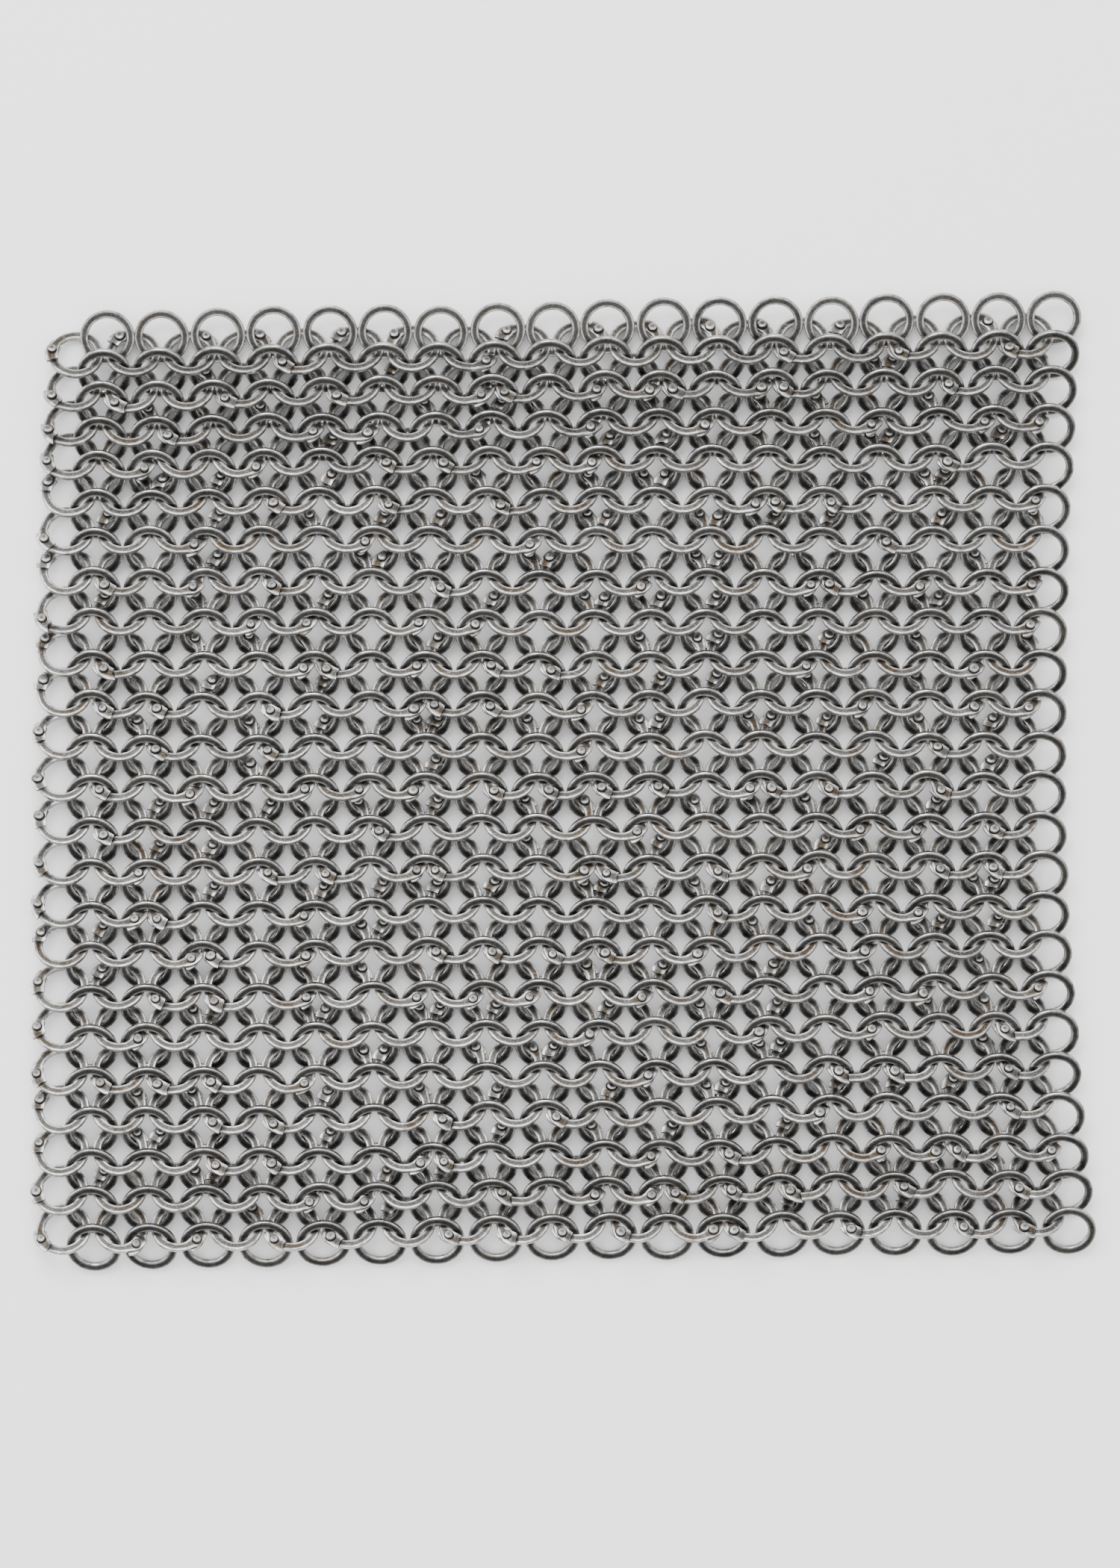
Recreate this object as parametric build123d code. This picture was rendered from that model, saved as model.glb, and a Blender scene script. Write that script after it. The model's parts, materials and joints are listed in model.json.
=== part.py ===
"""Square panel of riveted flat-ring mail, one layer of the European four-in-one weave.

Rows of punched solid rings alternate with rows of riveted rings, and every ring passes through four of the row
above and below it. Each riveted ring is a flat strip bent round until its ends overlap, and one rivet closes the
lap. Units are millimetres and +Z is up; the panel lies on the XY plane with its rows along X.

The weave is laid out by formula, loosened a little by a seeded jitter, and then settled: rings that touch are
pushed apart until each has its clearance. Nothing here is a measured table.
"""

import os
import random
from math import cos, pi, radians, sin

import numpy as np
from build123d import *

# ---- the ring, punched flat from sheet
RING_OUTER = 5.70  # radius
RING_INNER = 4.10  # radius
RING_THICK = 1.00

# ---- the riveted lap: two flattened ends, one over the other
LAP_HALF_ANGLE = 22.0  # degrees each side of the rivet
LAP_STEP = 1.6  # degrees left open between an end and the shoulder it stops at
LAP_BOTTOM, LAP_TOP = -0.60, 0.65  # the lap is a little thicker than the ring
LAP_GAP = 0.05  # between the two ends
SWELL_INSIDE = 0.15  # how far the flattened ends spread inwards
SWELL_CENTRE, SWELL_RADIUS = 3.85, 2.60  # the arc they spread outwards to

# ---- the rivet
RIVET_RADIUS = 5.12  # how far from the ring's centre
SHANK = 0.74  # radius
HEAD = 1.00  # radius of the set head
HEAD_TOP, HEAD_BOTTOM = 0.80, 0.30  # heights of the heads above and below the lap
FIT = 0.03  # room round the shank and under the heads

# ---- the weave
COLUMNS = 18
BANDS = 23  # riveted rows; there is one more solid row
ROWS = 2 * BANDS + 1  # 0, 2, 4 ... are solid, 1, 3, 5 ... are riveted
PITCH_TOP, PITCH_MIDDLE, PITCH_BOTTOM = 3.78, 4.42, 3.98  # from one row to the next
HINGE_PITCH = 0.88  # rows that fold on each other lie this much closer
COLUMN_PITCH, COLUMN_SPREAD = 11.68, 0.32  # across, and how much wider the bottom edge is
EDGE_BOW = 3.2  # the sides bow this far to the left halfway down
ROW_SLOPE_TOP, ROW_SLOPE_BOTTOM = 0.020, 0.018
ROW_WAVE = 0.30
TILT = 28.5  # degrees, solid rings one way and riveted rings the other
TILT_PER_PITCH = 4.0  # steeper where the rows are close
EDGE_TILT, EDGE_DROP = 15.0, 0.85  # the free top row lies flatter and lower

# ---- how loose it lies
SEED = 23
SHIFT, TURN = 0.15, 2.6  # millimetres and degrees
HINGE_CALM = 0.4  # the rows beside a fold are shifted and turned less
CLEARANCE, HINGE_CLEARANCE = 0.07, 0.26
SETTLE_STEPS = 150

# ---- strips that move as one: the first holds rows 0 to 2, each later one four rows
STRIPS = 12


def strip_of(row):
    return 0 if row < 3 else min(STRIPS - 1, 1 + (row - 3) // 4)


def ease(low, high, value):
    part = min(1.0, max(0.0, (value - low) / (high - low)))
    return part * part * (3 - 2 * part)


def row_pitch(row):
    """The distance from this row to the next one down."""
    down = (row + 0.5) / ROWS
    pitch = PITCH_TOP + (PITCH_MIDDLE - PITCH_TOP) * ease(0.08, 0.24, down)
    pitch += (PITCH_BOTTOM - PITCH_MIDDLE) * ease(0.82, 0.94, down)
    return pitch * (HINGE_PITCH if strip_of(row) != strip_of(row + 1) else 1.0)


def turned(tilt, roll, spin=0.0):
    """The matrix of a spin about Z, then a roll about Y, then a tilt about X, all in degrees."""
    a, b, c = radians(tilt), radians(roll), radians(spin)
    about_x = np.array([[1, 0, 0], [0, cos(a), -sin(a)], [0, sin(a), cos(a)]])
    about_y = np.array([[cos(b), 0, sin(b)], [0, 1, 0], [-sin(b), 0, cos(b)]])
    about_z = np.array([[cos(c), -sin(c), 0], [sin(c), cos(c), 0], [0, 0, 1]])
    return about_x @ about_y @ about_z


def lap_angle(row, column, rng):
    """Where on a riveted ring the lap sits: on a diagonal, clear of the four links, or out on the free left edge."""
    if column == 0:
        return 180 + rng.uniform(-38, 30)
    return rng.choice((225, 315, 45, 135)) + rng.uniform(-7, 7)


def layout():
    """Centres, turns and lap angles of every ring, before settling."""
    rng = random.Random(SEED)
    rings, down = [], 0.0
    for row in range(ROWS):
        share = row / (ROWS - 1)
        solid = row % 2 == 0
        pitch = COLUMN_PITCH + COLUMN_SPREAD * ease(0.55, 1.0, share)
        slope = ROW_SLOPE_TOP * (1 - ease(0.0, 0.3, share)) + ROW_SLOPE_BOTTOM * ease(0.3, 0.9, share)
        tilt = TILT + TILT_PER_PITCH * (PITCH_MIDDLE - row_pitch(min(row, ROWS - 2)))
        for column in range(COLUMNS):
            along = column - (COLUMNS - 1) / 2 + (0.25 if solid else -0.25)
            x = along * pitch - EDGE_BOW * sin(pi * share)
            y = -down + slope * x + ROW_WAVE * sin(x / 17 + 5 * share) * cos(x / 41 - 9 * share)
            z, lean = 0.0, tilt if solid else -tilt
            if row == 0:
                z, lean = -EDGE_DROP, EDGE_TILT
            loose = HINGE_CALM if strip_of(row - 1) != strip_of(row + 1) else 1.0
            x, y, z = (value + loose * rng.uniform(-SHIFT, SHIFT) for value in (x, y, z))
            turn = turned(lean + loose * rng.uniform(-TURN, TURN), loose * rng.uniform(-TURN, TURN))
            rings.append({"row": row, "column": column, "at": (x, y, z), "turn": turn, "lap": 0.0})
            if not solid:
                rings[-1]["lap"] = lap_angle(row, column, rng)
        down += row_pitch(row)
    return rings


def neighbours(rings):
    """Pairs of rings that could touch, with the clearance each pair is given."""
    index = {(r["row"], r["column"]): i for i, r in enumerate(rings)}
    pairs = []
    for (row, column), i in index.items():
        other = column + 1 if row % 2 == 0 else column - 1
        for step, across in ((1, column), (1, other), (0, column + 1)):
            j = index.get((row + step, across))
            if j is not None:
                hinged = strip_of(row) != strip_of(row + step)
                pairs.append((i, j, HINGE_CLEARANCE if hinged else CLEARANCE))
    return pairs


def surface_points():
    """Points on a ring, as (sectors, points in a sector, 3), and points on a lap and its rivet."""
    ring = []
    for step in range(72):
        angle = 2 * pi * step / 72
        for radius in (RING_INNER, RING_OUTER):
            for z in (-RING_THICK / 2, RING_THICK / 2):
                ring.append((radius * cos(angle), radius * sin(angle), z))
    lap = []
    for step in range(24):
        around, along = 2 * pi * step / 24, radians(LAP_HALF_ANGLE) * (step / 11.5 - 1)
        outer = SWELL_CENTRE * cos(along) + (SWELL_RADIUS**2 - (SWELL_CENTRE * sin(along)) ** 2) ** 0.5
        for z in (LAP_BOTTOM, LAP_TOP):
            for radius in (RING_INNER - SWELL_INSIDE, outer):
                lap.append((radius * cos(along), radius * sin(along), z))
        for z in (LAP_BOTTOM - HEAD_BOTTOM, LAP_TOP + HEAD_TOP):
            lap.append((RIVET_RADIUS + HEAD * cos(around), HEAD * sin(around), z))
    return np.array(ring).reshape(12, -1, 3), np.array(lap).reshape(2, -1, 3)


def gap_to_ring(points):
    """Distance from points, in a ring's own frame, to that ring, and the direction away from it."""
    radius = np.maximum(np.hypot(points[..., 0], points[..., 1]), 1e-9)
    side, height = radius - (RING_OUTER + RING_INNER) / 2, points[..., 2]
    out = np.abs(side) - (RING_OUTER - RING_INNER) / 2
    up = np.abs(height) - RING_THICK / 2
    corner = (out > 0) & (up > 0)
    flat = np.where(out > up, 1.0, 0.0)
    long = np.maximum(np.hypot(out, up), 1e-9)
    share_out, share_up = np.where(corner, out / long, flat), np.where(corner, up / long, 1 - flat)
    gap = np.where(corner, long, np.maximum(out, up))
    radial = share_out * np.sign(side) / radius
    away = np.stack([radial * points[..., 0], radial * points[..., 1], share_up * np.sign(height)], -1)
    return gap, away


def closest(points, centre, turn, on_centre, on_turn):
    """The nearest point of each sector of one ring to another: gaps, places and directions, in the world."""
    world = np.einsum("nij,nskj->nski", turn, points) + centre[:, None, None]
    local = np.einsum("nji,nskj->nski", on_turn, world - on_centre[:, None, None])
    gap, away = gap_to_ring(local)
    pick = gap.argmin(2)[..., None]
    take = lambda values: np.take_along_axis(values, pick[..., None], 2)[:, :, 0]
    away = np.einsum("nij,nsj->nsi", on_turn, take(away))
    return np.take_along_axis(gap, pick, 2)[..., 0], take(world), away


def touching(rings, pairs, centres, turns):
    """Every contact nearer than its clearance, as (pushed ring, other ring, depth, place, direction)."""
    ring, lap = surface_points()
    laps = np.array([turned(0, 0, r["lap"]) for r in rings])
    both = np.array([(i, j) for i, j, _ in pairs] + [(j, i) for i, j, _ in pairs])
    clear = np.array([c for _, _, c in pairs] * 2)
    found = []
    for points, rows in ((ring, slice(None)), (lap, [rings[i]["row"] % 2 == 1 for i in both[:, 0]])):
        one, two = both[rows].T
        body = np.broadcast_to(points, (len(one), *points.shape))
        if points is lap:
            body = np.einsum("nij,nskj->nski", laps[one], body)
        gap, place, away = closest(body, centres[one], turns[one], centres[two], turns[two])
        depth = clear[rows][:, None] - gap
        n, s = np.nonzero(depth > 0)
        found.append((one[n], two[n], depth[n, s], place[n, s], away[n, s]))
    return [np.concatenate(values) for values in zip(*found)]


def settle(rings):
    """Pushes touching rings apart, sliding and turning each a little at a time, until all have their clearance."""
    pairs = neighbours(rings)
    centres = np.array([r["at"] for r in rings])
    turns = np.array([r["turn"] for r in rings])
    inertia = (RING_OUTER**2 + RING_INNER**2) / 4
    for _ in range(SETTLE_STEPS):
        one, two, depth, place, away = touching(rings, pairs, centres, turns)
        if not len(one):
            break
        slide, twist, count = np.zeros_like(centres), np.zeros_like(centres), np.zeros(len(rings))
        arms = [np.cross(place - centres[who], away) for who in (one, two)]
        push = depth / (2 + (arms[0] ** 2).sum(1) / inertia + (arms[1] ** 2).sum(1) / inertia)
        for who, arm, sign in ((one, arms[0], 1), (two, arms[1], -1)):
            np.add.at(slide, who, sign * push[:, None] * away)
            np.add.at(twist, who, sign * push[:, None] * arm / inertia)
            np.add.at(count, who, 1)
        ease_off = 1.7 / np.maximum(count, 1.7)[:, None]
        centres += slide * ease_off
        for i in np.nonzero(count)[0]:
            turns[i] = rotation(twist[i] * ease_off[i]) @ turns[i]
    for ring, centre, turn in zip(rings, centres, turns):
        ring["at"], ring["turn"] = centre, turn
    return rings


def rotation(vector):
    """The matrix that turns by a small rotation vector."""
    angle = np.linalg.norm(vector)
    if angle < 1e-12:
        return np.eye(3)
    x, y, z = vector / angle
    cross = np.array([[0, -z, y], [z, 0, -x], [-y, x, 0]])
    return np.eye(3) + sin(angle) * cross + (1 - cos(angle)) * cross @ cross


def place(solid, ring, spin=0.0):
    """A copy of the solid, standing where the ring lies."""
    turn = ring["turn"] @ turned(0, 0, spin)
    return solid.moved(Location(Plane(Vector(*ring["at"]), x_dir=Vector(*turn[:, 0]), z_dir=Vector(*turn[:, 2]))))


def slab(sketch, low, high):
    return extrude(Plane.XY.offset(low) * sketch, amount=high - low)


def wedge(start, end):
    """A sector of the plane between two angles in degrees, no more than half a turn apart."""
    far, middle = 20.0, (start + end) / 2
    points = [(far * cos(radians(a)), far * sin(radians(a))) for a in (start, middle, end)]
    return make_face(Polyline((0, 0), *points, close=True))


def solid_ring():
    return slab(Circle(RING_OUTER) - Circle(RING_INNER), -RING_THICK / 2, RING_THICK / 2).solid()


def riveted_ring():
    """A strip bent into a ring round Z, its two flattened ends lapped at +X and pierced for the rivet."""
    lap, shoulder = LAP_HALF_ANGLE, LAP_HALF_ANGLE + LAP_STEP
    flat = Circle(RING_OUTER) - Circle(RING_INNER)
    ends = flat + (Pos(SWELL_CENTRE, 0) * Circle(SWELL_RADIUS) - Circle(RING_INNER - SWELL_INSIDE))
    body = slab(flat - wedge(-shoulder, shoulder), -RING_THICK / 2, RING_THICK / 2)
    lower = slab(ends & wedge(-lap, shoulder + 3), LAP_BOTTOM, -LAP_GAP / 2)
    upper = slab(ends & wedge(-shoulder - 3, lap), LAP_GAP / 2, LAP_TOP)
    hole = Pos(RIVET_RADIUS, 0, 0) * Cylinder(SHANK + FIT, 4)
    return (body + lower + upper - hole).solid()


def rivet():
    """A shank with a domed head set on each side of the lap."""
    low, high = LAP_BOTTOM - FIT, LAP_TOP + FIT
    shank = Pos(RIVET_RADIUS, 0, (low + high) / 2) * Cylinder(SHANK, high - low + 0.2)
    top = Pos(RIVET_RADIUS, 0, high) * Cone(HEAD, HEAD * 0.62, HEAD_TOP - FIT, align=(Align.CENTER, Align.CENTER, Align.MIN))
    bottom = Pos(RIVET_RADIUS, 0, low) * Cone(HEAD * 0.8, HEAD, HEAD_BOTTOM - FIT, align=(Align.CENTER, Align.CENTER, Align.MAX))
    return (shank + top + bottom).solid()


def main():
    rings = settle(layout())
    templates = solid_ring(), riveted_ring(), rivet()
    nodes = {}
    for ring in rings:
        row = ring["row"]
        if row % 2 == 0:
            nodes.setdefault(f"solid_rings_row_{row // 2 + 1:02d}", []).append(place(templates[0], ring))
        else:
            nodes.setdefault(f"riveted_rings_row_{row // 2 + 1:02d}", []).append(place(templates[1], ring, ring["lap"]))
            nodes.setdefault(f"rivets_strip_{strip_of(row) + 1:02d}", []).append(place(templates[2], ring, ring["lap"]))
    box = Compound([solid for solids in nodes.values() for solid in solids]).bounding_box()
    origin = Pos(-box.center().X, -box.center().Y, -box.min.Z)
    os.makedirs("parts", exist_ok=True)
    for name, solids in nodes.items():
        export_step(Compound([solid.moved(origin) for solid in solids]), f"parts/{name}.step")


if __name__ == "__main__":
    main()
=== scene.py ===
"""Looks for a panel of riveted flat-ring mail: tumbled steel rings, flattened laps and hammered rivets."""

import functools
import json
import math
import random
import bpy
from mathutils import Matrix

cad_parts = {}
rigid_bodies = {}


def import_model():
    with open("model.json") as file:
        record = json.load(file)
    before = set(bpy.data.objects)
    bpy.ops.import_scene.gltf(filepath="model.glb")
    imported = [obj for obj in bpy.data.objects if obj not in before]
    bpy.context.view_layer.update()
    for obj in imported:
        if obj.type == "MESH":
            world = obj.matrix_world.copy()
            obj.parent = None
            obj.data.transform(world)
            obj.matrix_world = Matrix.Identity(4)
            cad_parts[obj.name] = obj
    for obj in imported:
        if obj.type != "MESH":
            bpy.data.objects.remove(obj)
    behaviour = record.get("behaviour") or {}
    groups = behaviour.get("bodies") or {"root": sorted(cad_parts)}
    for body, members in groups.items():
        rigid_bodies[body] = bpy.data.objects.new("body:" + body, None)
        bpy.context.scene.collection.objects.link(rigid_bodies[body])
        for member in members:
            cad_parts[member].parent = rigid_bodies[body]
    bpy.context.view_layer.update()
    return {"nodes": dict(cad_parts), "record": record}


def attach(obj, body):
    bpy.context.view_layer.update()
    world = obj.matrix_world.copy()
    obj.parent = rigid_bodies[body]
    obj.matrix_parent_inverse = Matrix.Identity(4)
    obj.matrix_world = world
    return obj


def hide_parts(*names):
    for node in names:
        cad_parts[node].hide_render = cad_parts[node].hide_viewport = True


bl_info = {
    "name": "Riveted Mail Panel",
    "version": (1, 0, 0),
    "blender": (4, 5, 0),
    "location": "View3D > Sidebar > Mail",
    "description": "Lays punched rings, riveted rings and rivets where the packed model has them",
    "category": "Add Mesh",
}

import bpy
import numpy as np
from mathutils import Matrix, Vector

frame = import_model()
MM = 0.001
BODY_OF = {node: body for body, nodes in frame["record"]["behaviour"]["bodies"].items() for node in nodes}
SOLID_ROWS = sorted(name for name in frame["nodes"] if name.startswith("solid_rings_row_"))
RIVETED_ROWS = sorted(name for name in frame["nodes"] if name.startswith("riveted_rings_row_"))
RIVET_STRIPS = sorted(name for name in frame["nodes"] if name.startswith("rivets_strip_"))

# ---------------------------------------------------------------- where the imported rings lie

LOOSE_TIP, LOOSE_SHIFT = 1.1, 0.06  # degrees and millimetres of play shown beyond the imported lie
CAD_HOLE, CAD_LAP = 4.10, 5.80  # radii: the hole, and past which only a lap reaches
FLAT_FACE = 0.97  # how nearly a face has to look along the ring's axis to count as one of its flat sides
WALL_FITS = 8  # rounds of fitting the centre to the hole's wall
WALL_FAR, WALL_NEAR, WALL_SURE = 0.8, 0.06, 0.05  # how far off the wall a point may be: at first, later, at the end


def solids_of(node):
    """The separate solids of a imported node, each as its vertices and its triangles, in millimetres."""
    mesh = frame["nodes"][node].data
    places = np.empty(len(mesh.vertices) * 3, np.float32)
    mesh.vertices.foreach_get("co", places)
    places = places.reshape(-1, 3).astype(float) / MM
    microns = np.round(places * 1000).astype(np.int64)
    _, first, same = np.unique(microns, axis=0, return_index=True, return_inverse=True)
    mesh.calc_loop_triangles()
    corners = np.empty(len(mesh.loop_triangles) * 3, np.int32)
    mesh.loop_triangles.foreach_get("vertices", corners)
    triangles = same.reshape(-1)[corners].reshape(-1, 3)
    label = np.arange(len(first))
    while True:
        lower = label.copy()
        np.minimum.at(lower, triangles.ravel(), np.repeat(label[triangles].min(1), 3))
        lower = lower[lower]
        if (lower == label).all():
            break
        label = lower
    points = places[first]
    for mark in np.unique(label):
        yield points[label == mark], points[triangles[label[triangles[:, 0]] == mark]]


def ring_frame(points, triangles):
    """A ring's place as a matrix: its centre, its upper side along Z and its lap, if it has one, along X."""
    normals = np.cross(triangles[:, 1] - triangles[:, 0], triangles[:, 2] - triangles[:, 0])
    spread = np.linalg.eigh(np.cov(points.T))
    up = spread[1][:, 0] * (1 if spread[1][2, 0] > 0 else -1)
    size = np.linalg.norm(normals, axis=1)
    along = normals @ up
    flat = np.abs(along) > FLAT_FACE * size
    up = (normals[flat] * np.sign(along[flat])[:, None]).sum(0)
    up /= np.linalg.norm(up)
    side = np.cross((0.0, 1.0, 0.0), up)
    side /= np.linalg.norm(side)
    basis = np.stack([side, np.cross(up, side), up])
    local = points @ basis.T
    centre = (local[:, :2].min(0) + local[:, :2].max(0)) / 2
    window = WALL_FAR
    for _ in range(WALL_FITS):
        reach = local[:, :2] - centre
        radius = np.linalg.norm(reach, axis=1)
        wall = np.abs(radius - CAD_HOLE) < window
        outward, off = reach[wall] / radius[wall][:, None], radius[wall] - CAD_HOLE
        centre = centre + np.linalg.lstsq(outward, off, rcond=None)[0]
        window = max(WALL_NEAR, window / 3)
    reach = local[:, :2] - centre
    radius = np.linalg.norm(reach, axis=1)
    wall = np.abs(radius - CAD_HOLE) < WALL_SURE
    height = (local[wall, 2].min() + local[wall, 2].max()) / 2
    lap = radius > CAD_LAP
    x_axis = side
    if lap.any():
        towards = reach[lap].mean(0)
        x_axis = np.append(towards / np.linalg.norm(towards), 0) @ basis
    place = np.append(centre, height) @ basis
    turn = np.stack([x_axis, np.cross(up, x_axis), up], 1)
    return place, turn


@functools.lru_cache(maxsize=None)
def row_frames(node):
    """Every ring's place in a row, from left to right."""
    rng = np.random.default_rng([ord(letter) for letter in node])
    found = sorted((ring_frame(*solid) for solid in solids_of(node)), key=lambda ring: ring[0][0])
    return [loosened(place, turn, rng) for place, turn in found]


def loosened(place, turn, rng):
    """A ring's place nudged and tipped within its play, so that no two rings lie quite alike."""
    tip = Matrix.Rotation(math.radians(rng.normal(0, LOOSE_TIP)), 3, "X")
    tip = tip @ Matrix.Rotation(math.radians(rng.normal(0, LOOSE_TIP)), 3, "Y")
    return place + rng.normal(0, LOOSE_SHIFT, 3) * (1, 1, 0.3), turn @ np.array(tip)


# ---------------------------------------------------------------- shapes, in millimetres about a ring's centre

SECTION_WEAR_AND_HIGHLIGHT = (1, 1, 0, 1, 1, 1, 1, 0, 1, 1)  # which points of a section get the bright edge: rubbed steel, and a painted highlight along every bevel and wall
SECTION_MIDDLES = (2, 7)  # the points halfway across the upper and the lower face
CROWN = 0.032  # how far a tumbled face bulges, as a share of its width
PUNCHED_STEPS, PLAIN_STEPS, RIVET_STEPS = 34, 22, 12  # round a punched ring, a lapped ring's plain part, a rivet
END_STATIONS = (0, 1.6, 5, 10, 16, 23, 30, 37, 43, 49, 55)  # degrees back from the cut of a hammered end
RAGGED, SLANT, DENT = 2.6, 4.5, 0.03  # of a cut end: degrees, degrees and millimetres


def flat_section(inner, outer, low, high, corner):
    """A flat strip's cross-section in radius and height: four bevelled corners, and each face crowned halfway."""
    corner = min(corner, (outer - inner) / 3, (high - low) / 3)
    middle, crown = (inner + outer) / 2, CROWN * (outer - inner)
    return [
        (outer, high - corner),
        (outer - corner, high),
        (middle, high + crown),
        (inner + corner, high),
        (inner, high - corner),
        (inner, low + corner),
        (inner + corner, low),
        (middle, low - crown),
        (outer - corner, low),
        (outer, low + corner),
    ]


def finished_shape(name, verts, faces, marks, is_crisp):
    """A shape from its points in millimetres and its faces, with its marks, and sharp where is_crisp says so."""
    mesh = bpy.data.meshes.new(name)
    mesh.from_pydata([(x * MM, y * MM, z * MM) for x, y, z in verts], [], faces)
    mesh.update()
    for label, values in marks.items():
        mesh.attributes.new(label, "FLOAT", "POINT").data.foreach_set("value", values)
    mesh.polygons.foreach_set("use_smooth", [True] * len(mesh.polygons))
    crisp = mesh.attributes.new("sharp_edge", "BOOLEAN", "EDGE")
    crisp.data.foreach_set("value", [is_crisp(*edge.vertices) for edge in mesh.edges])
    return bpy.data.objects.new(name, mesh)


def swept(name, stations, closed):
    """A strip through its stations, each a list of (degrees, radius, height, how far into the lap)."""
    count, total = len(SECTION_WEAR_AND_HIGHLIGHT), len(stations)
    verts, faces, lap = [], [], []
    for station in stations:
        for angle, radius, height, near in station:
            verts.append((radius * math.cos(math.radians(angle)), radius * math.sin(math.radians(angle)), height))
            lap.append(near)
    for i in range(total if closed else total - 1):
        a, b = i * count, (i + 1) % total * count
        for j in range(count):
            k = (j + 1) % count
            faces.append((a + j, b + j, b + k, a + k))
    if not closed:
        faces.append(tuple(range(count)))
        faces.append(tuple(reversed(range((total - 1) * count, total * count))))

    def is_crisp(a, b):
        cut = not closed and a // count == b // count and a // count in (0, total - 1)
        return cut or (a % count == b % count and a % count not in SECTION_MIDDLES)

    return finished_shape(name, verts, faces, {"wear_and_highlight": list(SECTION_WEAR_AND_HIGHLIGHT) * total, "lap": lap}, is_crisp)


def ease(low, high, value):
    """From 0 at low to 1 at high, smoothly."""
    part = min(1.0, max(0.0, (value - low) / (high - low)))
    return part * part * (3 - 2 * part)


def solid_ring_shape(name, sizes, rng):
    """A punched ring: flat, its edges softened by tumbling, never quite round."""
    half, soft = sizes.thickness / 2 / MM, sizes.softness / MM
    phase, oval = rng.uniform(0, math.tau), rng.uniform(0.01, 0.04)
    dish, lift = rng.uniform(-0.01, 0.03), rng.uniform(-0.03, 0.03)
    stations = []
    for step in range(PUNCHED_STEPS):
        angle = math.tau * step / PUNCHED_STEPS
        drift = oval * math.cos(2 * angle + phase) + rng.uniform(-0.01, 0.01)
        rise = lift * math.cos(2 * angle - phase)
        inner, outer = sizes.hole / 2 / MM + drift, sizes.rim / 2 / MM + drift
        section = flat_section(inner, outer, rise - half, rise + half, soft * rng.uniform(0.75, 1.25))
        stations.append([(math.degrees(angle), r, z + dish * (r - inner), 0.0) for r, z in section])
    return swept(name, stations, True)


def riveted_ring_shape(name, sizes, rng):
    """A flat strip bent round, its two ends hammered wide and thin, cut off ragged and lapped at +X."""
    half, hole, rim = sizes.thickness / 2 / MM, sizes.hole / 2 / MM, sizes.rim / 2 / MM
    reach = math.degrees(sizes.lap_length / 2 / ((sizes.hole + sizes.rim) / 4))
    phase, soft, swell = rng.uniform(0, math.tau), sizes.softness / MM, sizes.lap_swell / MM

    def hammered_end(side):
        """One end from its cut to where the plain strip begins: side is 1 for the upper end, -1 for the lower."""
        length = reach * rng.uniform(0.9, 1.16)
        outward, inward = swell * rng.uniform(0.8, 1.2), swell * rng.uniform(0.25, 0.55)
        face = rng.uniform(0.56, 0.68)
        slant, ragged = rng.uniform(-SLANT, SLANT), [rng.uniform(-RAGGED, RAGGED) for _ in range(3)]
        made = []
        for back in END_STATIONS:
            spread = (1 - ease(length * 0.75, length * 2 + 6, back)) * (1 - 0.24 * (1 - ease(0, 6, back)))
            lapped = 1 - ease(length * 2 - 2, length * 2 + 9, back)
            inner = hole - inward * spread + rng.uniform(-0.02, 0.02)
            outer = rim + outward * spread + rng.uniform(-0.02, 0.02)
            thin = face - 0.16 * (1 - ease(0, 9, back))
            upper, under = half + (thin - half) * lapped, -half + (0.03 + half) * lapped
            low, high = (under, upper) if side > 0 else (-upper, -under)
            dents = [rng.uniform(-DENT, DENT) * lapped for _ in range(3)]
            cut = 1 - ease(0, 5, back)
            station = []
            for r, z in flat_section(inner, outer, low, high, soft * (1 - 0.4 * lapped)):
                across = (r - (inner + outer) / 2) / (outer - inner) * 2
                third = 0 if across > 0.3 else 1 if across < -0.3 else 2
                angle = length - back + (slant * across + ragged[third]) * cut
                station.append((side * angle, r, z + dents[third], lapped))
            made.append(station)
        return made

    upper, lower = hammered_end(1), hammered_end(-1)
    first, last = lower[-1][0][0], 360 + upper[-1][0][0]
    stations = lower
    for step in range(1, PLAIN_STEPS):
        mark = first + (last - first) * step / PLAIN_STEPS
        drift = 0.035 * math.sin(math.radians(mark) * 3 + phase) + rng.uniform(-0.015, 0.015)
        bend = 0.04 * math.cos(math.radians(mark) * 2 + phase)
        section = flat_section(hole + drift, rim + drift, bend - half, bend + half, soft * rng.uniform(0.75, 1.25))
        stations.append([(mark, r, z, 0.0) for r, z in section])
    stations += [[(angle + 360, r, z, near) for angle, r, z, near in station] for station in reversed(upper)]
    return swept(name, stations, False)


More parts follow.
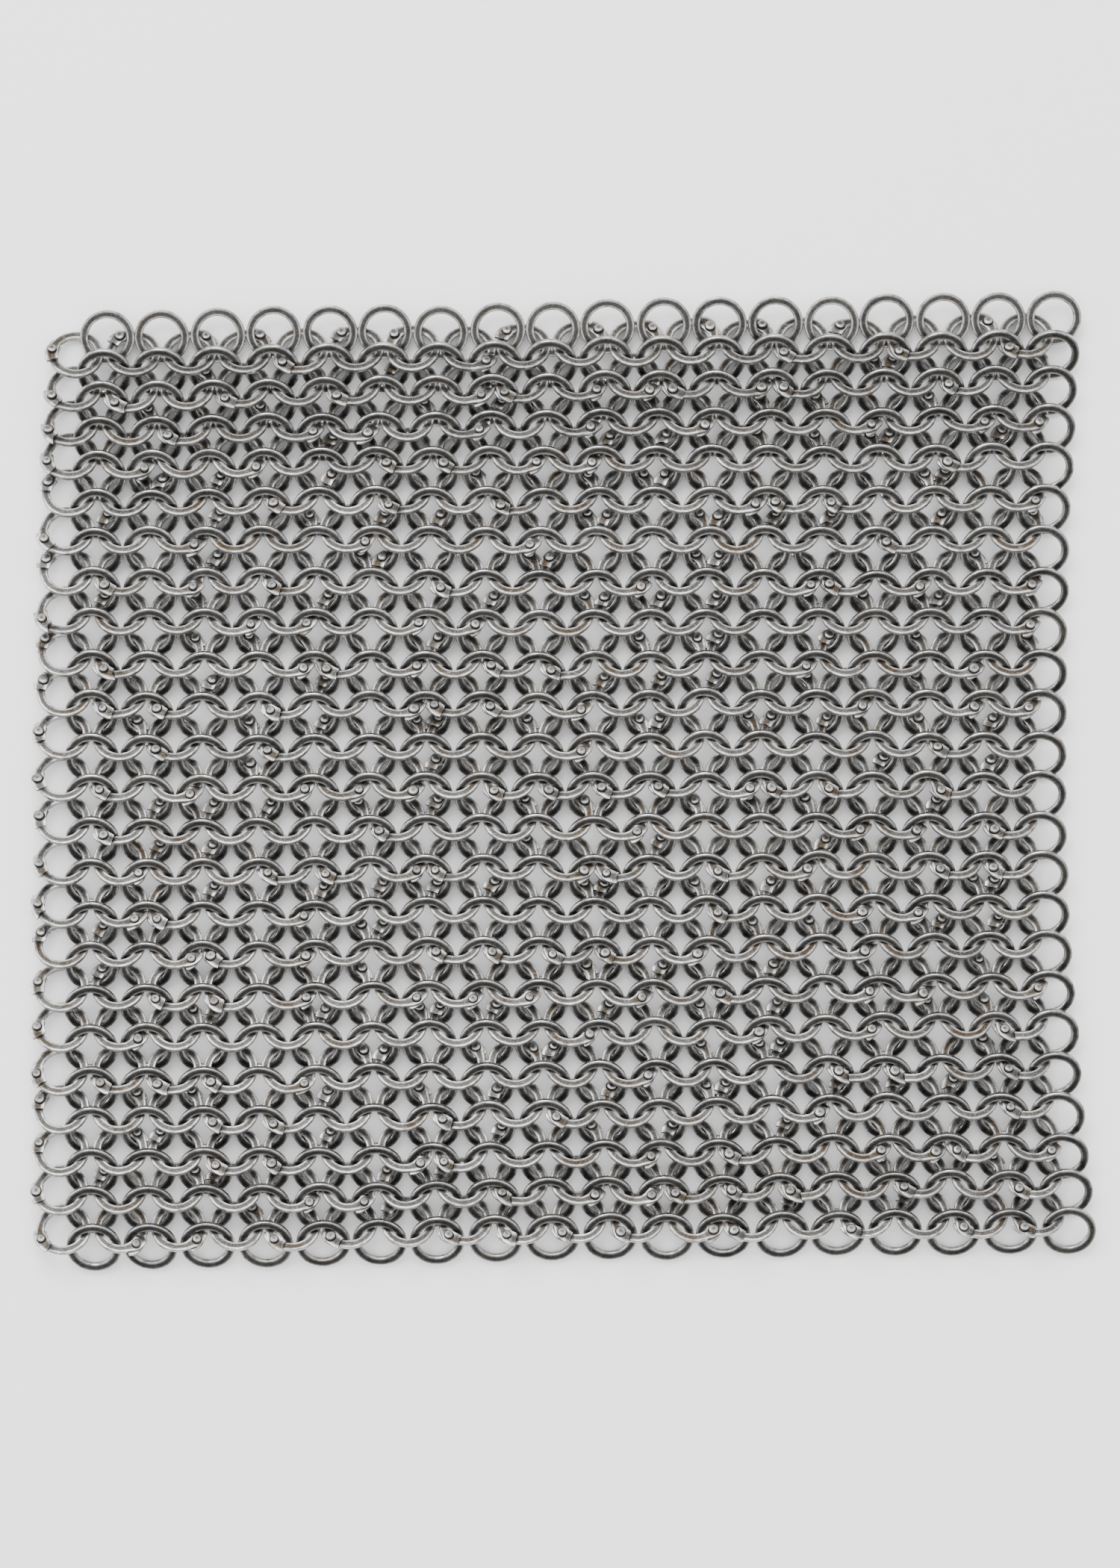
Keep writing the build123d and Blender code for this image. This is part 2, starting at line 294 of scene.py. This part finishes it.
def rivet_shape(name, sizes, rng):
    """A hammered rivet: a stud whose blunt top stands on the lap, with a flatter head under it."""
    seat, top, bottom = sizes.rivet_seat / MM, 0.62, -0.60
    radius = sizes.rivet_width / 2 / MM * rng.uniform(0.9, 1.1)
    rise = sizes.rivet_rise / MM * rng.uniform(0.82, 1.12)
    blunt = rng.uniform(0.72, 0.86)
    profile = (  # share of the radius, height, how rubbed and how much painted highlight
        (0.0, bottom - 0.28, 0.3),
        (0.50, bottom - 0.26, 0.5),
        (0.84, bottom - 0.14, 0.6),
        (0.84, bottom + 0.05, 0.1),
        (0.70, 0.0, 0.0),
        (1.12, top - 0.10, 0.0),
        (1.10, top + 0.04, 0.0),
        (1.0, top + rise * 0.22, 0.0),
        (0.98, top + rise * 0.72, 0.5),
        (blunt, top + rise * 0.95, 1.0),
        (blunt * 0.55, top + rise * 0.99, 0.6),
        (0.0, top + rise, 0.4),
    )
    lean = (rng.uniform(-0.1, 0.1), rng.uniform(-0.1, 0.1))
    squash, spin = rng.uniform(0.0, 0.08), rng.uniform(0, math.tau)
    verts, wear_and_highlight, rings = [], [], []
    for share, height, rubbed_and_highlit in profile:
        shift = [value * max(0.0, height - top) for value in lean]
        around = 1 if share == 0 else RIVET_STEPS
        rings.append(list(range(len(verts), len(verts) + around)))
        for step in range(around):
            angle = math.tau * step / RIVET_STEPS
            wide = radius * share * (1 + squash * math.cos(2 * (angle - spin)) + rng.uniform(-0.025, 0.025))
            tap = rng.uniform(-0.03, 0.03) if height > top + rise * 0.5 else 0.0
            x, y = seat + shift[0] + wide * math.cos(angle), shift[1] + wide * math.sin(angle)
            verts.append((x, y, height + tap))
            wear_and_highlight.append(rubbed_and_highlit)
    faces = []
    for lower, upper in zip(rings, rings[1:]):
        for step in range(RIVET_STEPS):
            after = (step + 1) % RIVET_STEPS
            if len(lower) == 1:
                faces.append((lower[0], upper[after], upper[step]))
            elif len(upper) == 1:
                faces.append((lower[step], lower[after], upper[0]))
            else:
                faces.append((lower[step], lower[after], upper[after], upper[step]))
    # the wear mark is highest on the blunt top: a painted highlight on the rivet's top as well as rubbed steel
    marks = {"wear_and_highlight": wear_and_highlight, "lap": [0.5] * len(verts)}
    return finished_shape(name, verts, faces, marks, lambda a, b: False)


def family(name, make, sizes, count, seed):
    """A collection of slightly different shapes of one kind, out of sight."""
    rng = random.Random(seed)
    kept = bpy.data.collections.new(name)
    for number in range(count):
        kept.objects.link(make(f"{name}_{number}", sizes, rng))
    return kept


# ---------------------------------------------------------------- laying shapes where the rings are

TONE_SEED = 77.0  # added to the seed, so that a ring's tone doesn't follow its shape


def socket(tree, name, kind, way="INPUT", default=None):
    """A named socket on a node tree's interface."""
    made = tree.interface.new_socket(name=name, in_out=way, socket_type=kind)
    if default is not None:
        made.default_value = default
    return made


def laying_tree():
    """Geometry nodes that put one shape of a family on every point, turned as the point says."""
    name = "Lay a family of shapes"
    if name in bpy.data.node_groups:
        return bpy.data.node_groups[name]
    tree = bpy.data.node_groups.new(name, "GeometryNodeTree")
    socket(tree, "Points", "NodeSocketGeometry")
    socket(tree, "Shapes", "NodeSocketCollection")
    socket(tree, "Last Shape", "NodeSocketInt", default=0)
    socket(tree, "Spin", "NodeSocketFloat", default=0.0)
    socket(tree, "Seed", "NodeSocketInt", default=1)
    socket(tree, "Steel", "NodeSocketMaterial")
    socket(tree, "Laid", "NodeSocketGeometry", "OUTPUT")
    add, link = tree.nodes.new, tree.links.new
    inside, outside = add("NodeGroupInput"), add("NodeGroupOutput")
    turn = add("GeometryNodeInputNamedAttribute")
    turn.data_type = "FLOAT_VECTOR"
    turn.inputs["Name"].default_value = "turn"
    facing = add("FunctionNodeEulerToRotation")
    link(turn.outputs["Attribute"], facing.inputs["Euler"])
    low = add("ShaderNodeMath")
    low.operation = "MULTIPLY"
    low.inputs[1].default_value = -1.0
    link(inside.outputs["Spin"], low.inputs[0])
    spin = add("FunctionNodeRandomValue")
    spin.data_type = "FLOAT"
    link(low.outputs[0], spin.inputs[2])
    link(inside.outputs["Spin"], spin.inputs[3])
    link(inside.outputs["Seed"], spin.inputs["Seed"])
    about = add("ShaderNodeCombineXYZ")
    link(spin.outputs[1], about.inputs["Z"])
    round_z = add("FunctionNodeEulerToRotation")
    link(about.outputs[0], round_z.inputs["Euler"])
    turned = add("FunctionNodeRotateRotation")
    turned.rotation_space = "LOCAL"
    link(facing.outputs[0], turned.inputs["Rotation"])
    link(round_z.outputs[0], turned.inputs["Rotate By"])
    shapes = add("GeometryNodeCollectionInfo")
    shapes.inputs["Separate Children"].default_value = True
    shapes.inputs["Reset Children"].default_value = True
    link(inside.outputs["Shapes"], shapes.inputs["Collection"])
    which = add("FunctionNodeRandomValue")
    which.data_type = "INT"
    which.inputs[4].default_value = 0
    link(inside.outputs["Last Shape"], which.inputs[5])
    link(inside.outputs["Seed"], which.inputs["Seed"])
    lay = add("GeometryNodeInstanceOnPoints")
    lay.inputs["Pick Instance"].default_value = True
    link(inside.outputs["Points"], lay.inputs["Points"])
    link(shapes.outputs[0], lay.inputs["Instance"])
    link(which.outputs[2], lay.inputs["Instance Index"])
    link(turned.outputs[0], lay.inputs["Rotation"])
    tone = add("FunctionNodeRandomValue")
    tone.data_type = "FLOAT"
    shifted = add("ShaderNodeMath")
    shifted.inputs[1].default_value = TONE_SEED
    link(inside.outputs["Seed"], shifted.inputs[0])
    link(shifted.outputs[0], tone.inputs["Seed"])
    store = add("GeometryNodeStoreNamedAttribute")
    store.data_type, store.domain = "FLOAT", "INSTANCE"
    store.inputs["Name"].default_value = "tone"
    link(lay.outputs[0], store.inputs["Geometry"])
    link(tone.outputs[1], store.inputs["Value"])
    real = add("GeometryNodeRealizeInstances")
    finish = add("GeometryNodeSetMaterial")
    link(store.outputs[0], real.inputs["Geometry"])
    link(real.outputs[0], finish.inputs["Geometry"])
    link(inside.outputs["Steel"], finish.inputs["Material"])
    link(finish.outputs[0], outside.inputs["Laid"])
    return tree


def lay(name, nodes, frames, shapes, steel, seed, spin, slot):
    """One finished piece: a family's shapes laid on the frames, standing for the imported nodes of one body."""
    mesh = bpy.data.meshes.new(name)
    mesh.from_pydata([tuple(place * MM) for place, _ in frames], [], [])
    turns = [angle for _, turn in frames for angle in Matrix(turn.tolist()).to_euler("XYZ")]
    mesh.attributes.new("turn", "FLOAT_VECTOR", "POINT").data.foreach_set("vector", turns)
    piece = bpy.data.objects.new(name, mesh)
    bpy.context.scene.collection.objects.link(piece)
    tree = laying_tree()
    laid = piece.modifiers.new("Laid", "NODES")
    laid.node_group = tree
    last = len(shapes.objects) - 1
    values = {"Shapes": shapes, "Last Shape": last, "Spin": spin, "Seed": seed, "Steel": steel}
    for item in tree.interface.items_tree:
        if item.name in values:
            laid[item.identifier] = values[item.name]
    graph = bpy.context.evaluated_depsgraph_get()
    finished = bpy.data.meshes.new_from_object(
        piece.evaluated_get(graph), preserve_all_data_layers=True, depsgraph=graph
    )
    piece.modifiers.clear()
    piece.data = finished
    bpy.data.meshes.remove(mesh)
    finished.name = name
    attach(piece, BODY_OF[nodes[0]])
    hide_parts(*nodes)


def by_body(nodes):
    """The nodes of each body, body by body."""
    bodies = sorted(set(BODY_OF.values()))
    return [(body, [node for node in nodes if BODY_OF[node] == body]) for body in bodies]


def frames_of(nodes):
    """Every ring's place in several rows."""
    return [found for node in nodes for found in row_frames(node)]


# ---------------------------------------------------------------- finishes

FINISHES = {  # material, roughness, then how much edge wear with its painted edge highlight, scratching and browning it has
    "solid": ("Tumbled punched steel", 0.37, 0.85, 0.22, 0.50),
    "riveted": ("Tumbled lapped steel", 0.41, 0.80, 0.45, 1.0),
    "rivet": ("Hammered rivet steel", 0.45, 0.80, 0.30, 0.55),
}
BUMP_STRENGTH, BUMP_DEPTH = 0.35, 0.00006  # a share, and metres


def shader_group(name, inputs, outputs):
    """An empty shader group with its sockets, its input node and its output node."""
    tree = bpy.data.node_groups.new(name, "ShaderNodeTree")
    for label, kind, default in inputs:
        socket(tree, label, kind, default=default)
    for label, kind in outputs:
        socket(tree, label, kind, "OUTPUT")
    return tree, tree.nodes.new("NodeGroupInput"), tree.nodes.new("NodeGroupOutput")


def noise(tree, vector, scale, detail=3.0, rough=0.55, stretch=None, turn=(0, 0, 0)):
    """A noise texture, on coordinates stretched and turned first if asked."""
    if stretch:
        mapping = tree.nodes.new("ShaderNodeMapping")
        mapping.inputs["Scale"].default_value = stretch
        mapping.inputs["Rotation"].default_value = turn
        tree.links.new(vector, mapping.inputs["Vector"])
        vector = mapping.outputs[0]
    made = tree.nodes.new("ShaderNodeTexNoise")
    made.inputs["Detail"].default_value = detail
    made.inputs["Roughness"].default_value = rough
    tree.links.new(vector, made.inputs["Vector"])
    if isinstance(scale, (int, float)):
        made.inputs["Scale"].default_value = scale
    else:
        tree.links.new(scale, made.inputs["Scale"])
    return made.outputs["Fac"]


def ramp(tree, value, low, high, out_low=0.0, out_high=1.0):
    """A value eased from one range into another."""
    made = tree.nodes.new("ShaderNodeMapRange")
    made.interpolation_type = "SMOOTHSTEP"
    tree.links.new(value, made.inputs["Value"])
    for index, number in ((1, low), (2, high), (3, out_low), (4, out_high)):
        made.inputs[index].default_value = number
    return made.outputs[0]


def maths(tree, operation, *values):
    """One sum of numbers or sockets."""
    made = tree.nodes.new("ShaderNodeMath")
    made.operation = operation
    for index, value in enumerate(values):
        if isinstance(value, (int, float)):
            made.inputs[index].default_value = value
        else:
            tree.links.new(value, made.inputs[index])
    return made.outputs[0]


def mixed(tree, share, one, two):
    """Two colours mixed by a share."""
    made = tree.nodes.new("ShaderNodeMix")
    made.data_type = "RGBA"
    for index, value in ((0, share), (6, one), (7, two)):
        if isinstance(value, (int, float, tuple)):
            made.inputs[index].default_value = value
        else:
            tree.links.new(value, made.inputs[index])
    return made.outputs[2]


def attribute(tree, name):
    """A mark stored on the mesh."""
    made = tree.nodes.new("ShaderNodeAttribute")
    made.attribute_name = name
    return made.outputs["Fac"]


def object_space(tree):
    """The piece's own coordinates, in metres."""
    return tree.nodes.new("ShaderNodeTexCoord").outputs["Object"]


def grain_group():
    """Mottling and crossing scratches of steel tumbled with its neighbours."""
    if "Tumbled grain" in bpy.data.node_groups:
        return bpy.data.node_groups["Tumbled grain"]
    tree, inside, outside = shader_group(
        "Tumbled grain",
        [("Mottle Scale", "NodeSocketFloat", 420.0), ("Scratches", "NodeSocketFloat", 0.5)],
        [("Mottle", "NodeSocketFloat"), ("Scratch", "NodeSocketFloat"), ("Height", "NodeSocketFloat")],
    )
    space = object_space(tree)
    broad = noise(tree, space, inside.outputs["Mottle Scale"], 4.0, 0.6)
    fine = noise(tree, space, 2100.0, 3.0, 0.7)
    one = noise(tree, space, 1500.0, 2.0, 0.5, (1.0, 5.0, 1.0), (0.0, 0.0, 0.6))
    two = noise(tree, space, 1300.0, 2.0, 0.5, (6.0, 1.0, 1.0), (0.0, 0.0, -0.5))
    lines = maths(tree, "MAXIMUM", ramp(tree, one, 0.60, 0.70), ramp(tree, two, 0.61, 0.71))
    lines = maths(tree, "MULTIPLY", lines, inside.outputs["Scratches"])
    mottle = maths(tree, "ADD", maths(tree, "MULTIPLY", broad, 0.55), maths(tree, "MULTIPLY", fine, 0.45))
    pits = ramp(tree, noise(tree, space, 1250.0, 2.0, 0.5), 0.66, 0.74)
    mottle = maths(tree, "SUBTRACT", mottle, maths(tree, "MULTIPLY", pits, 0.22))
    tree.links.new(mottle, outside.inputs["Mottle"])
    tree.links.new(lines, outside.inputs["Scratch"])
    raised, cut = maths(tree, "MULTIPLY", mottle, 0.6), maths(tree, "MULTIPLY", lines, 0.35)
    tree.links.new(maths(tree, "SUBTRACT", raised, cut), outside.inputs["Height"])
    return tree


def wear_and_highlight_group():
    """Bright metal where edges rub on other rings, and a painted highlight along every bevel, wall and rivet top,
    broken up so that no edge is even.
    """
    if "Worn edges" in bpy.data.node_groups:
        return bpy.data.node_groups["Worn edges"]
    tree, inside, outside = shader_group(
        "Worn edges",
        [("Amount", "NodeSocketFloat", 0.8), ("Breakup", "NodeSocketFloat", 700.0)],
        [("Mask", "NodeSocketFloat")],
    )
    patchy = noise(tree, object_space(tree), inside.outputs["Breakup"], 2.0)
    patchy = ramp(tree, patchy, 0.25, 0.62, 0.35, 1.0)
    # painted highlight as well as wear: every bevel and wall is marked, so the brightening follows the edges that
    # catch the light
    edge = ramp(tree, attribute(tree, "wear_and_highlight"), 0.35, 1.0)
    mask = maths(tree, "MULTIPLY", maths(tree, "MULTIPLY", edge, patchy), inside.outputs["Amount"])
    tree.links.new(mask, outside.inputs["Mask"])
    return tree


def tint_group():
    """Thin brown patches of old oil and first rust, on some rings more than on others."""
    if "Oil and rust" in bpy.data.node_groups:
        return bpy.data.node_groups["Oil and rust"]
    tree, inside, outside = shader_group(
        "Oil and rust",
        [("Amount", "NodeSocketFloat", 0.5), ("Patch Scale", "NodeSocketFloat", 160.0)],
        [("Mask", "NodeSocketFloat")],
    )
    patch = ramp(tree, noise(tree, object_space(tree), inside.outputs["Patch Scale"], 4.0, 0.7), 0.42, 0.64)
    chosen = ramp(tree, attribute(tree, "tone"), 0.35, 0.95, 0.15, 1.0)
    chosen = maths(tree, "MAXIMUM", chosen, maths(tree, "MULTIPLY", attribute(tree, "lap"), 0.8))
    mask = maths(tree, "MULTIPLY", maths(tree, "MULTIPLY", patch, chosen), inside.outputs["Amount"])
    tree.links.new(mask, outside.inputs["Mask"])
    return tree


def steel(name, dark, light, bright_and_highlight, tint, rough, edge, scratches, brown):
    """Tumbled mild steel: a mottled grey between two tones, brighter at its edges from rubbing and a painted
    highlight, browned in patches.
    """
    made = bpy.data.materials.new(name)
    made.use_nodes = True
    tree = made.node_tree
    shader = tree.nodes["Principled BSDF"]
    shader.inputs["Metallic"].default_value = 1.0

    def group(source, **values):
        placed = tree.nodes.new("ShaderNodeGroup")
        placed.node_tree = source
        for label, value in values.items():
            placed.inputs[label.replace("_", " ")].default_value = value
        return placed.outputs

    grain = group(grain_group(), Mottle_Scale=380.0, Scratches=scratches)
    wear_and_highlight = group(wear_and_highlight_group(), Amount=edge, Breakup=650.0)
    rust = group(tint_group(), Amount=brown, Patch_Scale=150.0)
    tone = attribute(tree, "tone")
    mottle = ramp(tree, grain["Mottle"], 0.38, 0.62, 0.0, 0.85)
    mottle = maths(tree, "ADD", mottle, maths(tree, "MULTIPLY", tone, 0.45))
    colour = mixed(tree, maths(tree, "SUBTRACT", mottle, 0.12), dark, light)
    colour = mixed(tree, rust["Mask"], colour, tint)
    colour = mixed(tree, maths(tree, "MULTIPLY", grain["Scratch"], 0.55), colour, bright_and_highlight)
    # painted highlight and wear: the edge mask lightens bevels, walls and rivet tops towards the bright steel
    colour = mixed(tree, wear_and_highlight["Mask"], colour, bright_and_highlight)
    tree.links.new(colour, shader.inputs["Base Color"])
    gloss = ramp(tree, grain["Mottle"], 0.3, 0.7, rough - 0.07, rough + 0.09)
    gloss = maths(tree, "ADD", gloss, maths(tree, "MULTIPLY", rust["Mask"], 0.18))
    gloss = maths(tree, "SUBTRACT", gloss, maths(tree, "MULTIPLY", wear_and_highlight["Mask"], 0.14))
    tree.links.new(gloss, shader.inputs["Roughness"])
    bump = tree.nodes.new("ShaderNodeBump")
    bump.inputs["Strength"].default_value = BUMP_STRENGTH
    bump.inputs["Distance"].default_value = BUMP_DEPTH
    tree.links.new(grain["Height"], bump.inputs["Height"])
    tree.links.new(bump.outputs[0], shader.inputs["Normal"])
    return made


def finish_named(settings, kind):
    """The steel of each kind of piece, made once."""
    name, *shares = FINISHES[kind]
    if name in bpy.data.materials:
        return bpy.data.materials[name]
    colours = (settings.dull_steel, settings.clean_steel, settings.bright_steel_and_highlight, settings.brown_tint)
    return steel(name, *(tuple(colour) + (1.0,) for colour in colours), *shares)


# ---------------------------------------------------------------- what a user can change


class MAIL_PG_sizes(bpy.types.PropertyGroup):
    """Sizes of the rings, laps and rivets."""

    rim: bpy.props.FloatProperty(
        name="Ring width", description="Across the outside of a ring",
        default=0.01148, unit="LENGTH"
    )
    hole: bpy.props.FloatProperty(
        name="Hole", description="Across the hole of a ring",
        default=0.0081, unit="LENGTH"
    )
    thickness: bpy.props.FloatProperty(
        name="Thickness", description="How thick the ring's steel is",
        default=0.001, unit="LENGTH"
    )
    softness: bpy.props.FloatProperty(
        name="Edge softness", description="How far tumbling cut the corners",
        default=0.00013, unit="LENGTH"
    )
    lap_length: bpy.props.FloatProperty(
        name="Lap length", description="How far the two ends lie over each other",
        default=0.0042, unit="LENGTH"
    )
    lap_swell: bpy.props.FloatProperty(
        name="Lap swell", description="How far the hammered ends spread outwards",
        default=0.00082, unit="LENGTH"
    )
    rivet_width: bpy.props.FloatProperty(
        name="Rivet width", description="Across the set head",
        default=0.0021, unit="LENGTH"
    )
    rivet_rise: bpy.props.FloatProperty(
        name="Rivet rise", description="How far the head stands above the lap",
        default=0.00085, unit="LENGTH"
    )
    rivet_seat: bpy.props.FloatProperty(
        name="Rivet seat", description="From the ring's centre to its rivet",
        default=0.00512, unit="LENGTH"
    )
    seed: bpy.props.IntProperty(
        name="Seed", description="Which rings get which shape and tone",
        default=7
    )


class MAIL_PG_finish(bpy.types.PropertyGroup):
    """Colours of the steel."""

    dull_steel: bpy.props.FloatVectorProperty(
        name="Dull steel", description="Darkest grey of a face",
        subtype="COLOR", size=3, default=(0.030, 0.0290, 0.0274)
    )
    clean_steel: bpy.props.FloatVectorProperty(
        name="Clean steel", description="Lightest grey of a face",
        subtype="COLOR", size=3, default=(0.064, 0.0627, 0.0602)
    )
    # this colour also paints the highlights on ring rims, walls and rivet tops, besides rubbed steel
    bright_steel_and_highlight: bpy.props.FloatVectorProperty(
        name="Bright steel", description="Rubbed edges and rivet tops",
        subtype="COLOR", size=3, default=(0.47, 0.466, 0.458)
    )
    brown_tint: bpy.props.FloatVectorProperty(
        name="Brown tint", description="Old oil and first rust",
        subtype="COLOR", size=3, default=(0.046, 0.0315, 0.0185)
    )


class MAIL_PG_stage(bpy.types.PropertyGroup):
    """The pale table, the light and the camera."""

    camera_height: bpy.props.FloatProperty(
        name="Camera height", description="Straight above the sheet",
        default=1.0, unit="LENGTH"
    )
    view_width: bpy.props.FloatProperty(
        name="View width", description="What the picture takes in, side to side",
        default=0.2355, unit="LENGTH"
    )
    aim_x: bpy.props.FloatProperty(
        name="Aim across", description="Where the camera looks, along the rows",
        default=-0.0008, unit="LENGTH"
    )
    aim_y: bpy.props.FloatProperty(
        name="Aim along", description="Where the camera looks, across the rows",
        default=-0.0005, unit="LENGTH"
    )
    panel_light: bpy.props.FloatProperty(
        name="Panel light", description="Power of the main soft panel",
        default=26.0, unit="POWER"
    )
    room_light: bpy.props.FloatProperty(
        name="Room light", description="Light from all round, brightest overhead",
        default=2.2
    )


# ---------------------------------------------------------------- one operator for each group of pieces

PUNCHED_KINDS, LAPPED_KINDS, RIVET_KINDS = 6, 12, 8  # how many different shapes each family has
LAPPED_SEED, RIVET_SEED = 100, 200  # so that the three kinds draw differently


class MAIL_OT_solid_rings(bpy.types.Operator):
    """Lays the punched solid rings, row by row"""

    bl_idname = "mail.solid_rings"
    bl_label = "Lay Solid Rings"

    def execute(self, context):
        sizes = context.scene.mail_sizes
        shapes = family("punched_ring", solid_ring_shape, sizes, PUNCHED_KINDS, sizes.seed)
        steel = finish_named(context.scene.mail_finish, "solid")
        for number, (body, nodes) in enumerate(by_body(SOLID_ROWS)):
            name, seed = f"punched_rings_{body}", sizes.seed + number
            lay(name, nodes, frames_of(nodes), shapes, steel, seed, math.pi, "solid_ring_steel")
        return {"FINISHED"}


class MAIL_OT_riveted_rings(bpy.types.Operator):
    """Lays the riveted rings, row by row, each lap where its rivet is"""

    bl_idname = "mail.riveted_rings"
    bl_label = "Lay Riveted Rings"

    def execute(self, context):
        sizes = context.scene.mail_sizes
        shapes = family("lapped_ring", riveted_ring_shape, sizes, LAPPED_KINDS, sizes.seed + 1)
        steel = finish_named(context.scene.mail_finish, "riveted")
        for number, (body, nodes) in enumerate(by_body(RIVETED_ROWS)):
            name, seed = f"lapped_rings_{body}", sizes.seed + LAPPED_SEED + number
            lay(name, nodes, frames_of(nodes), shapes, steel, seed, 0.0, "riveted_ring_steel")
        return {"FINISHED"}


class MAIL_OT_rivets(bpy.types.Operator):
    """Sets one rivet through every lap, strip by strip"""

    bl_idname = "mail.rivets"
    bl_label = "Set Rivets"

    def execute(self, context):
        sizes = context.scene.mail_sizes
        shapes = family("set_rivet", rivet_shape, sizes, RIVET_KINDS, sizes.seed + 2)
        steel = finish_named(context.scene.mail_finish, "rivet")
        rows_of = dict(by_body(RIVETED_ROWS))
        for number, (body, nodes) in enumerate(by_body(RIVET_STRIPS)):
            name, seed = f"set_rivets_{body}", sizes.seed + RIVET_SEED + number
            lay(name, nodes, frames_of(rows_of[body]), shapes, steel, seed, 0.0, "rivet_steel")
        return {"FINISHED"}


IMAGE_WIDTH, IMAGE_HEIGHT = 1500, 2100
SENSOR_WIDTH, FAR_CLIP = 36.0, 20.0
TABLE_HALF, TABLE_WHITE, TABLE_ROUGH, TABLE_SHEEN = 4.0, (0.92, 0.92, 0.925, 1), 0.9, 0.1
LAMPS = (  # name, place, size in metres, share of the panel light
    ("key_panel", (-0.28, 1.02, 1.15), 0.95, 1.0),
    ("left_panel", (-1.5, 0.1, 0.75), 0.9, 0.35),
)
BACK_LEAN = 0.28  # how far the bright part of the room leans to the back
ROOM_DARK, ROOM_BRIGHT = 0.26, 1.25  # shares of the room light at the horizon and overhead
WALL_LIGHT, WALL_SHARE = 0.85, 0.9  # what is seen straight on instead of the falloff, and how much of it


def studio_room(strength):
    """Light from all round: bright overhead and at the back, falling away to a dark horizon."""
    world = bpy.data.worlds.new("Studio")
    world.use_nodes = True
    tree = world.node_tree
    way = tree.nodes.new("ShaderNodeSeparateXYZ")
    tree.links.new(tree.nodes.new("ShaderNodeTexCoord").outputs["Generated"], way.inputs[0])
    height = maths(tree, "ADD", way.outputs["Z"], maths(tree, "MULTIPLY", way.outputs["Y"], BACK_LEAN))
    falloff = ramp(tree, height, 0.05, 1.0, ROOM_DARK * strength, ROOM_BRIGHT * strength)
    straight = tree.nodes.new("ShaderNodeLightPath").outputs["Is Camera Ray"]
    seen = maths(tree, "MULTIPLY", straight, WALL_SHARE)
    level = tree.nodes.new("ShaderNodeMix")
    tree.links.new(seen, level.inputs[0])
    tree.links.new(falloff, level.inputs[2])
    level.inputs[3].default_value = WALL_LIGHT * strength
    tree.links.new(level.outputs[0], tree.nodes["Background"].inputs["Strength"])
    tree.nodes["Background"].inputs["Color"].default_value = (1.0, 1.0, 1.0, 1)
    return world


class MAIL_OT_stage(bpy.types.Operator):
    """Sets the pale table, the soft light and the camera straight above"""

    bl_idname = "mail.stage"
    bl_label = "Set the Stage"

    def execute(self, context):
        stage, scene = context.scene.mail_stage, context.scene
        table_mesh = bpy.data.meshes.new("table")
        corners = [(x * TABLE_HALF, y * TABLE_HALF, 0) for x, y in ((-1, -1), (1, -1), (1, 1), (-1, 1))]
        table_mesh.from_pydata(corners, [], [(0, 1, 2, 3)])
        table = bpy.data.objects.new("table", table_mesh)
        white = bpy.data.materials.new("White table")
        white.use_nodes = True
        paint = white.node_tree.nodes["Principled BSDF"].inputs
        paint["Base Color"].default_value = TABLE_WHITE
        paint["Roughness"].default_value = TABLE_ROUGH
        paint["Specular IOR Level"].default_value = TABLE_SHEEN
        table_mesh.materials.append(white)
        scene.collection.objects.link(table)
        scene.world = studio_room(stage.room_light)
        for name, place, size, share in LAMPS:
            lamp = bpy.data.lights.new(name, "AREA")
            lamp.energy, lamp.size = stage.panel_light * share, size
            held = bpy.data.objects.new(name, lamp)
            held.location = place
            held.rotation_mode = "QUATERNION"
            held.rotation_quaternion = Vector(place).to_track_quat("Z", "Y")
            scene.collection.objects.link(held)
        camera = bpy.data.cameras.new("camera")
        height = stage.view_width * IMAGE_HEIGHT / IMAGE_WIDTH
        camera.sensor_width = SENSOR_WIDTH
        camera.lens = camera.sensor_width * stage.camera_height / height
        camera.clip_end = FAR_CLIP
        eye = bpy.data.objects.new("camera", camera)
        eye.location = (stage.aim_x, stage.aim_y, stage.camera_height)
        scene.collection.objects.link(eye)
        scene.camera = eye
        return {"FINISHED"}


class MAIL_PT_sidebar(bpy.types.Panel):
    """Sizes, colours and steps of the mail panel"""

    bl_idname = "MAIL_PT_sidebar"
    bl_label = "Riveted Mail"
    bl_space_type = "VIEW_3D"
    bl_region_type = "UI"
    bl_category = "Mail"

    def draw(self, context):
        scene = context.scene
        for owner in (scene.mail_sizes, scene.mail_finish, scene.mail_stage):
            box = self.layout.box()
            for name in type(owner).__annotations__:
                box.prop(owner, name)
        for step in STEPS:
            self.layout.operator(step.bl_idname)


STEPS = (MAIL_OT_solid_rings, MAIL_OT_riveted_rings, MAIL_OT_rivets, MAIL_OT_stage)
CLASSES = (MAIL_PG_sizes, MAIL_PG_finish, MAIL_PG_stage, *STEPS, MAIL_PT_sidebar)


def register():
    for kind in CLASSES:
        bpy.utils.register_class(kind)
    bpy.types.Scene.mail_sizes = bpy.props.PointerProperty(type=MAIL_PG_sizes)
    bpy.types.Scene.mail_finish = bpy.props.PointerProperty(type=MAIL_PG_finish)
    bpy.types.Scene.mail_stage = bpy.props.PointerProperty(type=MAIL_PG_stage)


def unregister():
    for name in ("mail_sizes", "mail_finish", "mail_stage"):
        delattr(bpy.types.Scene, name)
    for kind in reversed(CLASSES):
        bpy.utils.unregister_class(kind)


def main():
    register()
    bpy.ops.mail.solid_rings()
    bpy.ops.mail.riveted_rings()
    bpy.ops.mail.rivets()
    bpy.ops.mail.stage()


if __name__ == "__main__":
    main()
